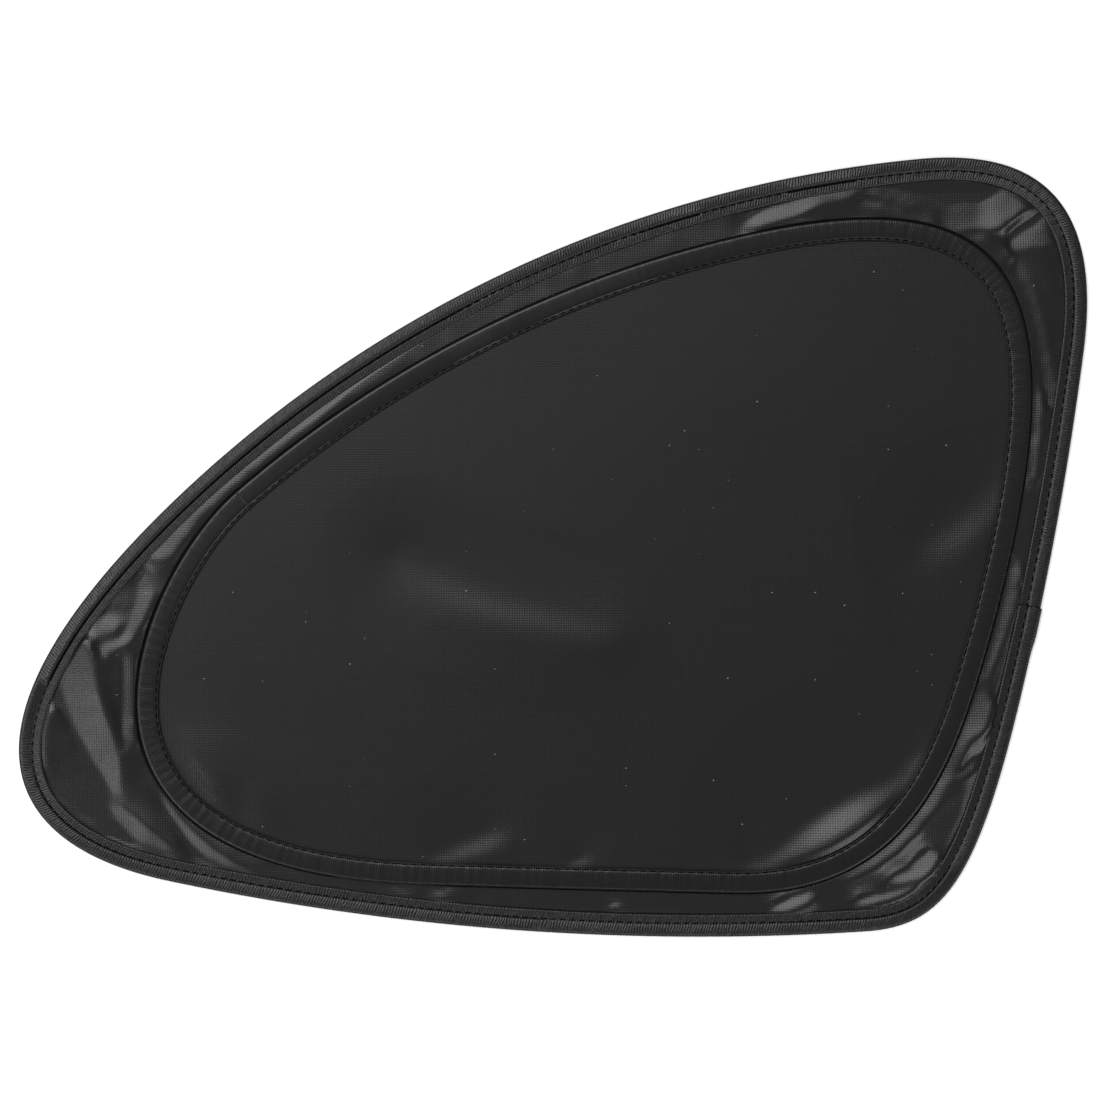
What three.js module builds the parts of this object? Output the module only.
// Car side window sunshade: one cloth held open by two rings of spring wire.
// The outer wire runs in a binding tape round the edge, the inner wire in a casing tape on the face.
// Millimetres. The shade lies face up on z = 0, with +X to its right side and +Y to its upper corner.
import * as THREE from 'three';

// Cut of the shade: a triangle whose sides bow outwards, from the tip along the bottom and back
const bottomSide = 442.3;
const rightSide = 336.0;
const slopeSide = 577.6;
const bottomTilt = -5.8;
const bottomBow = 22.4;
const rightBow = 9.8;
const slopeBow = 84.7;

// Rounding of each corner: how far back it starts, how far on it ends, and how full it is
const tipRounding = { before: 171.0, after: 103.8, pullBefore: 0.77, pullAfter: 0.77 };
const lowerRounding = { before: 40.5, after: 101.3, pullBefore: 0.82, pullAfter: 0.82 };
const upperRounding = { before: 84.3, after: 79.3, pullBefore: 0.71, pullAfter: 0.71 };

// Inner ring: its corners' offsets from those of the shade, and what its sides bow more or less
const tipOffset = new THREE.Vector2(5.9, -20.6);
const lowerOffset = new THREE.Vector2(-28.7, 11.7);
const upperOffset = new THREE.Vector2(-25.0, -22.5);
const bottomFlatter = 21.4;
const rightFuller = 8.0;
const slopeFlatter = 2.8;
const tipRingRounding = { before: 204.4, after: 205.0, pullBefore: 0.25, pullAfter: 0.89 };
const lowerRingRounding = { before: 68.5, after: 91.5, pullBefore: 0.87, pullAfter: 0.58 };
const upperRingRounding = { before: 153.8, after: 141.2, pullBefore: 0.86, pullAfter: 0.88 };

// Materials as bought
const tapeThickness = 0.4;
const clothThickness = 0.4;
const wireDiameter = 1.0;
const threadWidth = 0.4;
const threadHeight = 0.35;

// Clearances between layers, and between a wire and the sleeve that joins its ends
const gap = 0.3;
const sleeveGap = 0.12;

// Sleeve over the two ends of each wire
const sleeveLength = 12;
const sleeveWall = 0.15;
const wireEndGap = 0.6;

// Each tape makes a pocket for its wire, whose upper side falls to the stitches over this width
const pocketFall = 2.0;
const pocketSag = 0.3;

// Binding tape: from the edge to its stitches and to its free edge, and how far its flange lifts
const bindingStitch = 5.9;
const bindingWidth = 9.7;
const flangeLift = 0.2;

// Lap of the binding tape on the right side: place, lift-off and length under the upper layer,
// and how far from its ends the line of thread steps up and down
const lapPlace = 16.7;
const lapRamp = 12;
const lapLength = 10;
const threadPause = 2;

// Casing tape of the inner ring: from its lip to its stitches, the hem beyond them, and how much
// higher than the ring's underside its stitches hold the panel
const casingStitch = 8.5;
const casingHem = 0.7;
const panelLift = 1.2;

// Cloth: flat strip kept beside each tape, and soft folds as lines with a height and a width
const flatStrip = 1;
const skirtFolds = [
  { from: [-218, -40], to: [-188, -110], height: 2.4, width: 9 },
  { from: [-196, -18], to: [-178, -42], height: 1.5, width: 6 },
  { from: [-192, -112], to: [-150, -140], height: 1.6, width: 7 },
  { from: [-150, -142], to: [-100, -150], height: 1.2, width: 5 },
  { from: [-170, 8], to: [-60, 92], height: 1.0, width: 5 },
  { from: [-60, 98], to: [60, 146], height: 1.2, width: 5 },
  { from: [130, 156], to: [186, 150], height: 2.0, width: 7 },
  { from: [170, 142], to: [212, 128], height: 2.2, width: 7 },
  { from: [196, 122], to: [212, 66], height: 1.8, width: 6 },
  { from: [204, 40], to: [196, -20], height: 1.0, width: 4 },
  { from: [188, -60], to: [172, -112], height: 1.1, width: 5 },
  { from: [146, -124], to: [172, -142], height: 2.2, width: 7 },
  { from: [118, -140], to: [150, -152], height: 1.4, width: 6 },
];
const panelFolds = [
  { from: [-62, -8], to: [30, -38], height: 1.1, width: 22 },
  { from: [108, -112], to: [150, -128], height: 1.3, width: 18 },
  { from: [128, 12], to: [150, -48], height: 0.7, width: 16 },
  { from: [-166, -84], to: [-140, -106], height: 0.8, width: 14 },
];

// How finely the shapes are divided
const cornerSteps = 16;
const bottomSteps = 8;
const rightSteps = 6;
const slopeSteps = 14;
const belowLapSteps = 2;
const rampSteps = 3;
const rollSteps = 4;
const wireFacets = 6;
const sleeveFacets = 12;
const skirtRings = 4;
const panelRings = 4;

// Sizes that follow from those above
const sleeveRadius = wireDiameter / 2 + sleeveGap + sleeveWall;
const halfRollStep = Math.PI / rollSteps / 2;
const rollRadius = (sleeveRadius + gap + tapeThickness / 2) / Math.cos(halfRollStep);
const rollCentre = rollRadius + tapeThickness / 2;
const layerRise = tapeThickness + gap;
const edgeClothZ = layerRise;
const ringClothZ = gap;
const flangeZ = edgeClothZ + clothThickness + gap + tapeThickness / 2;
const casingZ = ringClothZ + clothThickness + gap;
const clothInset = rollCentre + sleeveRadius + gap;
const casingWidth = casingStitch + casingHem;

const pitch = (index, count, from, to) => from + (to - from) * index / count;

// A side bowed into an arc, with the place and heading at any distance from its start
function bowedSide(from, to, bow) {
  const chord = to.clone().sub(from);
  const span = chord.length();
  const radius = span * span / (8 * bow) + bow / 2;
  const inward = new THREE.Vector2(-chord.y, chord.x).divideScalar(span);
  const centre = from.clone().add(to).divideScalar(2).addScaledVector(inward, radius - bow);
  const start = from.clone().sub(centre).divideScalar(radius).angle();
  const length = 2 * radius * Math.asin(span / (2 * radius));
  const place = (distance) => {
    const angle = start + distance / radius;
    const heading = new THREE.Vector2(-Math.sin(angle), Math.cos(angle));
    const point = new THREE.Vector2(Math.cos(angle), Math.sin(angle)).multiplyScalar(radius).add(centre);
    return { point, heading };
  };
  return { length, place };
}

// A station is a point on an outline with the direction that leads straight inwards from it
function station(point, heading) {
  return { point, inward: new THREE.Vector2(-heading.y, heading.x) };
}

// The rounded corner between two sides, as one smooth curve that leaves and meets them in line
function roundedCorner(arriving, leaving, before, after, rounding) {
  const entry = arriving.place(arriving.length - before);
  const exit = leaving.place(after);
  const pullIn = entry.point.clone().addScaledVector(entry.heading, before * rounding.pullBefore);
  const pullOut = exit.point.clone().addScaledVector(exit.heading, -after * rounding.pullAfter);
  const curve = new THREE.CubicBezierCurve(entry.point, pullIn, pullOut, exit.point);
  return (share) => station(curve.getPoint(share), curve.getTangent(share));
}

// A closed outline as six stretches: tip, bottom, lower corner, right side, upper corner, slope
function makeOutline(corners, bows, roundings) {
  const sides = corners.map((corner, i) => bowedSide(corner, corners[(i + 1) % 3], bows[i]));
  const trims = sides.map((side, i) => {
    const wanted = roundings[i].after + roundings[(i + 1) % 3].before;
    return Math.min(1, side.length / wanted);
  });
  const sideSteps = [bottomSteps, rightSteps, slopeSteps];
  return corners.flatMap((corner, i) => {
    const last = (i + 2) % 3;
    const next = (i + 1) % 3;
    const before = roundings[i].before * trims[last];
    const after = roundings[i].after * trims[i];
    const cornerAt = roundedCorner(sides[last], sides[i], before, after, roundings[i]);
    const length = sides[i].length - after - roundings[next].before * trims[i];
    const sideAt = (share) => {
      const { point, heading } = sides[i].place(after + share * length);
      return station(point, heading);
    };
    return [{ at: cornerAt, steps: cornerSteps }, { at: sideAt, steps: sideSteps[i], length }];
  });
}

// Evenly spaced stations on part of one stretch, the last one left to the part that follows
function portion(stretch, from, to, steps) {
  return Array.from({ length: steps }, (_, i) => stretch.at(pitch(i, steps, from, to)));
}

function whole(stretch) {
  return portion(stretch, 0, 1, stretch.steps);
}

// The three corners of the shade before rounding, from the lengths of its sides
function cutCorners() {
  const tilt = THREE.MathUtils.degToRad(bottomTilt);
  const cosine = (bottomSide ** 2 + slopeSide ** 2 - rightSide ** 2) / (2 * bottomSide * slopeSide);
  const tip = new THREE.Vector2(0, 0);
  const lower = new THREE.Vector2(bottomSide, 0).rotateAround(tip, tilt);
  const upper = new THREE.Vector2(slopeSide, 0).rotateAround(tip, tilt + Math.acos(cosine));
  return [tip, lower, upper];
}

const edgeBows = [bottomBow, rightBow, slopeBow];
const edgeRoundings = [tipRounding, lowerRounding, upperRounding];
const ringBows = [bottomBow - bottomFlatter, rightBow + rightFuller, slopeBow - slopeFlatter];
const ringRoundings = [tipRingRounding, lowerRingRounding, upperRingRounding];
const ringOffsets = [tipOffset, lowerOffset, upperOffset];

// The shade is shifted so that the middle of its outline's box is at the origin
function centredCorners() {
  const corners = cutCorners();
  const outline = makeOutline(corners, edgeBows, edgeRoundings);
  const box = new THREE.Box2().setFromPoints(outline.flatMap(whole).map(({ point }) => point));
  const middle = box.getCenter(new THREE.Vector2());
  return corners.map((corner) => corner.sub(middle));
}

const edgeCorners = centredCorners();
const ringCorners = edgeCorners.map((corner, i) => corner.clone().add(ringOffsets[i]));
const edgeOutline = makeOutline(edgeCorners, edgeBows, edgeRoundings);
const ringOutline = makeOutline(ringCorners, ringBows, ringRoundings);

// A mesh geometry from points and triangles, turned right side out
function solid(points, triangles) {
  const volume = triangles.reduce((sum, [a, b, c]) => {
    return sum + points[a].dot(new THREE.Vector3().crossVectors(points[b], points[c]));
  }, 0);
  const faces = volume < 0 ? triangles.map(([a, b, c]) => [a, c, b]) : triangles;
  const geometry = new THREE.BufferGeometry().setFromPoints(points);
  geometry.setIndex(faces.flat());
  geometry.computeVertexNormals();
  return geometry;
}

// A point at a distance inwards from a station, at a height
function placed({ point, inward }, distance, z) {
  return new THREE.Vector3(point.x + inward.x * distance, point.y + inward.y * distance, z);
}

// A section of [distance inwards, height] pairs swept along stations, closed into a ring or capped
function sweep(stations, sectionAt, ring) {
  const sections = stations.map(sectionAt);
  const size = sections[0].length;
  const points = sections.flatMap((section, i) => section.map(([q, z]) => placed(stations[i], q, z)));
  const triangles = [];
  const spans = ring ? stations.length : stations.length - 1;
  for (let i = 0; i < spans; i += 1) {
    const here = i * size;
    const there = (i + 1) % stations.length * size;
    for (let k = 0; k < size; k += 1) {
      const next = (k + 1) % size;
      triangles.push([here + k, here + next, there + next], [here + k, there + next, there + k]);
    }
  }
  if (!ring) {
    const last = (stations.length - 1) * size;
    const capOf = (section) => {
      const contour = section.map(([q, z]) => new THREE.Vector2(q, z));
      const turn = Math.sign(THREE.ShapeUtils.area(contour));
      return THREE.ShapeUtils.triangulateShape(contour, []).map(([a, b, c]) => {
        const own = Math.sign(THREE.ShapeUtils.area([contour[a], contour[b], contour[c]]));
        return own === turn ? [a, b, c] : [a, c, b];
      });
    };
    capOf(sections[0]).forEach(([a, b, c]) => triangles.push([a, c, b]));
    capOf(sections.at(-1)).forEach((face) => triangles.push(face.map((k) => k + last)));
  }
  return solid(points, triangles);
}

// The outline of a strip of tape, from the middle line of its section
function tapeSection(middle, thickness) {
  const offsetSide = (side) => middle.map(([q, z], i) => {
    const [aq, az] = middle[Math.max(i - 1, 0)];
    const [bq, bz] = middle[Math.min(i + 1, middle.length - 1)];
    const before = new THREE.Vector2(q - aq, z - az).normalize();
    const after = new THREE.Vector2(bq - q, bz - z).normalize();
    const along = before.clone().add(after).normalize();
    const bend = Math.max(along.dot(i === 0 ? after : before), 0.5);
    const reach = side * thickness / 2 / bend;
    return [q - along.y * reach, z + along.x * reach];
  });
  return [...offsetSide(1), ...offsetSide(-1).reverse()];
}

// The middle line of a tape folded round a wire: under leg, roll and upper leg down to the stitches.
// Where it is the upper layer of a lap, it rises by one layer and its under leg slides up the roll.
function foldedTape({ base, stitch, stitchZ, end, endZ, underZ, lap }) {
  const centreZ = base + rollCentre;
  const half = tapeThickness / 2;
  const rise = layerRise * lap;
  const radius = rollRadius + rise;
  const lowest = Math.PI * 3 / 2 - Math.acos((rollCentre - half - tapeThickness * lap) / radius);
  const roll = Array.from({ length: rollSteps + 1 }, (_, i) => {
    const angle = pitch(i, rollSteps, lowest, Math.PI / 2);
    return [rollCentre + radius * Math.cos(angle), centreZ + radius * Math.sin(angle)];
  });
  const tucked = [roll[0][0] - half * Math.sin(lowest), roll[0][1] + half * Math.cos(lowest)];
  const underEnd = [pitch(lap, 1, end, tucked[0]), pitch(lap, 1, underZ + half, tucked[1])];
  const brow = [stitch - pocketFall, centreZ + radius - pocketSag];
  const slope = [stitch - pocketFall / 2, (brow[1] + stitchZ + rise) / 2];
  return [underEnd, ...roll, brow, slope, [stitch, stitchZ + rise], [end, endZ + rise]];
}

function bindingSection(lap) {
  const middle = foldedTape({
    base: 0,
    stitch: bindingStitch,
    stitchZ: flangeZ,
    end: bindingWidth,
    endZ: flangeZ + flangeLift,
    underZ: 0,
    lap,
  });
  return tapeSection(middle, tapeThickness);
}

// Stretches of the outline in the order that the binding takes, after its start on the right side
const [edgeTip, edgeBottom, edgeLower, edgeRight, edgeUpper, edgeSlope] = edgeOutline;
const [ringTip, ringBottom, ringLower, ringRight, ringUpper, ringSlope] = ringOutline;
const rampStart = lapPlace / edgeRight.length;
const lapStart = rampStart + lapRamp / edgeRight.length;
const lapEnd = lapStart + lapLength / edgeRight.length;

function edgeBinding() {
  const round = [edgeUpper, edgeSlope, edgeTip, edgeBottom, edgeLower].flatMap(whole);
  const aboveLap = portion(edgeRight, lapStart, 1, rightSteps);
  const belowLap = portion(edgeRight, 0, rampStart, belowLapSteps);
  const single = [...aboveLap, ...round, ...belowLap];
  const rampEnd = lapStart - gap / edgeRight.length;
  const ramp = portion(edgeRight, rampStart, rampEnd, rampSteps);
  const upper = [edgeRight.at(rampEnd), edgeRight.at(lapEnd)];
  const stations = [...single, ...ramp, ...upper];
  const lapAt = (_, i) => THREE.MathUtils.clamp((i - single.length) / rampSteps, 0, 1);
  return sweep(stations, (item, i) => bindingSection(lapAt(item, i)), false);
}

function innerCasing() {
  const hemZ = casingZ + panelLift + layerRise + tapeThickness / 2;
  const middle = foldedTape({
    base: casingZ,
    stitch: casingStitch,
    stitchZ: hemZ,
    end: casingWidth,
    endZ: hemZ,
    underZ: casingZ + panelLift,
    lap: 0,
  });
  const section = tapeSection(middle, tapeThickness);
  return sweep(ringOutline.flatMap(whole), () => section, true);
}

// A ring of wire cut at the middle of the bottom, where its two ends meet inside a sleeve
function wireRing([tip, bottom, lower, right, upper, slope], z) {
  const half = wireEndGap / 2 / bottom.length;
  const grip = sleeveLength / 2 / bottom.length;
  const stations = [
    bottom.at(0.5 + half),
    ...portion(bottom, 0.5 + grip, 1, bottomSteps / 2),
    ...[lower, right, upper, slope, tip].flatMap(whole),
    ...portion(bottom, 0, 0.5 - grip, bottomSteps / 2),
    bottom.at(0.5 - grip),
    bottom.at(0.5 - half),
  ];
  const section = Array.from({ length: wireFacets }, (_, i) => {
    const angle = pitch(i, wireFacets, 0, Math.PI * 2);
    return [rollCentre + wireDiameter / 2 * Math.cos(angle), z + wireDiameter / 2 * Math.sin(angle)];
  });
  return sweep(stations, () => section, false);
}

// The sleeve is a short tube, turned about its own axis and then laid along the wire
function sleeve() {
  const bore = wireDiameter / 2 + sleeveGap;
  const half = sleeveLength / 2;
  const profile = [[bore, -half], [sleeveRadius, -half], [sleeveRadius, half], [bore, half], [bore, -half]];
  return new THREE.LatheGeometry(profile.map(([r, y]) => new THREE.Vector2(r, y)), sleeveFacets);
}

// A line of sewing thread as a low strand that follows a row of stitches
function threadSection(distance, z) {
  const half = threadWidth / 2;
  return [[distance - half, z], [distance + half, z], [distance, z + threadHeight]];
}

function bindingThread() {
  const pause = threadPause / edgeRight.length;
  const round = [edgeUpper, edgeSlope, edgeTip, edgeBottom, edgeLower].flatMap(whole);
  const aboveLap = portion(edgeRight, lapEnd + pause, 1, rightSteps);
  const belowLap = portion(edgeRight, 0, rampStart, belowLapSteps);
  const flat = [...aboveLap, ...round, ...belowLap];
  const raised = [edgeRight.at(lapStart - pause), edgeRight.at(lapEnd + pause / 2)];
  const stations = [...flat, edgeRight.at(rampStart), ...raised];
  const z = flangeZ + tapeThickness / 2 + gap;
  const rise = (i) => (i > flat.length ? layerRise : 0);
  return sweep(stations, (_, i) => threadSection(bindingStitch, z + rise(i)), true);
}

function casingThread() {
  const z = casingZ + panelLift + tapeThickness * 2 + gap * 2;
  return sweep(ringOutline.flatMap(whole), () => threadSection(casingStitch, z), true);
}

// How high the folds lift the cloth at a point
function foldHeight(folds, point) {
  return folds.reduce((height, fold) => {
    const from = new THREE.Vector3(...fold.from, 0);
    const to = new THREE.Vector3(...fold.to, 0);
    const line = new THREE.Line3(from, to);
    const nearest = line.closestPointToPoint(point, true, new THREE.Vector3());
    const away = nearest.distanceTo(point) / fold.width;
    return height + fold.height * Math.exp(-away * away);
  }, 0);
}

// The cloth runs from inside the binding, under the casing and across the panel, ring by ring
function shadeCloth() {
  const edge = edgeOutline.flatMap(whole);
  const lip = ringOutline.flatMap(whole);
  const flatRing = (stations, distance, z) => stations.map((item) => placed(item, distance, z));
  const skirtOuter = flatRing(edge, bindingWidth + flatStrip, edgeClothZ);
  const skirtInner = flatRing(lip, -flatStrip, ringClothZ);
  const underRoll = flatRing(lip, rollCentre, ringClothZ);
  const underHem = flatRing(lip, casingWidth, ringClothZ + panelLift);
  const panelEdge = flatRing(lip, casingWidth + flatStrip, ringClothZ + panelLift);
  const middle = panelEdge.reduce((sum, point) => sum.add(point), new THREE.Vector3());
  middle.divideScalar(panelEdge.length);
  const rings = [flatRing(edge, clothInset, edgeClothZ), skirtOuter];
  for (let i = 1; i < skirtRings; i += 1) {
    const swell = Math.sin(Math.PI * i / skirtRings);
    rings.push(skirtOuter.map((point, k) => {
      const mixed = point.clone().lerp(skirtInner[k], i / skirtRings);
      mixed.z += swell * foldHeight(skirtFolds, mixed.clone().setZ(0));
      return mixed;
    }));
  }
  rings.push(skirtInner, underRoll, underHem, panelEdge);
  for (let i = 1; i < panelRings; i += 1) {
    rings.push(panelEdge.map((point) => {
      const mixed = point.clone().lerp(middle, i / panelRings);
      mixed.z += foldHeight(panelFolds, mixed.clone().setZ(0));
      return mixed;
    }));
  }
  const size = edge.length;
  const lowerSide = [...rings.flat(), middle];
  const count = lowerSide.length;
  const upperSide = lowerSide.map((point) => point.clone().setZ(point.z + clothThickness));
  const points = [...lowerSide, ...upperSide];
  const sheet = [];
  for (let k = 0; k < size; k += 1) {
    const next = (k + 1) % size;
    for (let r = 0; r < rings.length - 1; r += 1) {
      const a = r * size;
      const b = a + size;
      sheet.push([a + k, b + k, b + next], [a + k, b + next, a + next]);
    }
    const innermost = (rings.length - 1) * size;
    sheet.push([innermost + k, count - 1, innermost + next]);
  }
  const upperSheet = sheet.map(([a, b, c]) => [a + count, c + count, b + count]);
  const rim = Array.from({ length: size }, (_, k) => {
    const next = (k + 1) % size;
    return [[k, next, next + count], [k, next + count, k + count]];
  });
  return solid(points, [...sheet, ...upperSheet, ...rim.flat()]);
}

function finish(colour, roughness, metalness) {
  return new THREE.MeshStandardMaterial({ color: colour, roughness, metalness });
}

function piece(name, geometry, material) {
  const mesh = new THREE.Mesh(geometry, material);
  mesh.name = name;
  return mesh;
}

function sleevePiece(name, outline, z, material) {
  const { point, inward } = outline[1].at(0.5);
  const mesh = piece(name, sleeve(), material);
  mesh.position.set(point.x + inward.x * rollCentre, point.y + inward.y * rollCentre, z);
  mesh.rotation.z = Math.atan2(inward.y, inward.x);
  return mesh;
}

const clothFinish = finish(0x2b2b2b, 0.5, 0);
const bindingFinish = finish(0x2d2d2d, 0.5, 0);
const casingFinish = finish(0x252525, 0.8, 0);
const threadFinish = finish(0x161616, 0.6, 0);
const wireFinish = finish(0x8f9194, 0.35, 1);
const sleeveFinish = finish(0xa7a9ab, 0.4, 1);

const shade = new THREE.Group();
shade.add(piece('shade_cloth', shadeCloth(), clothFinish));
shade.add(piece('edge_binding', edgeBinding(), bindingFinish));
shade.add(piece('inner_casing', innerCasing(), casingFinish));
shade.add(piece('outer_wire', wireRing(edgeOutline, rollCentre), wireFinish));
shade.add(piece('inner_wire', wireRing(ringOutline, casingZ + rollCentre), wireFinish));
shade.add(sleevePiece('outer_wire_sleeve', edgeOutline, rollCentre, sleeveFinish));
shade.add(sleevePiece('inner_wire_sleeve', ringOutline, casingZ + rollCentre, sleeveFinish));
shade.add(piece('binding_thread', bindingThread(), threadFinish));
shade.add(piece('casing_thread', casingThread(), threadFinish));

export default shade;
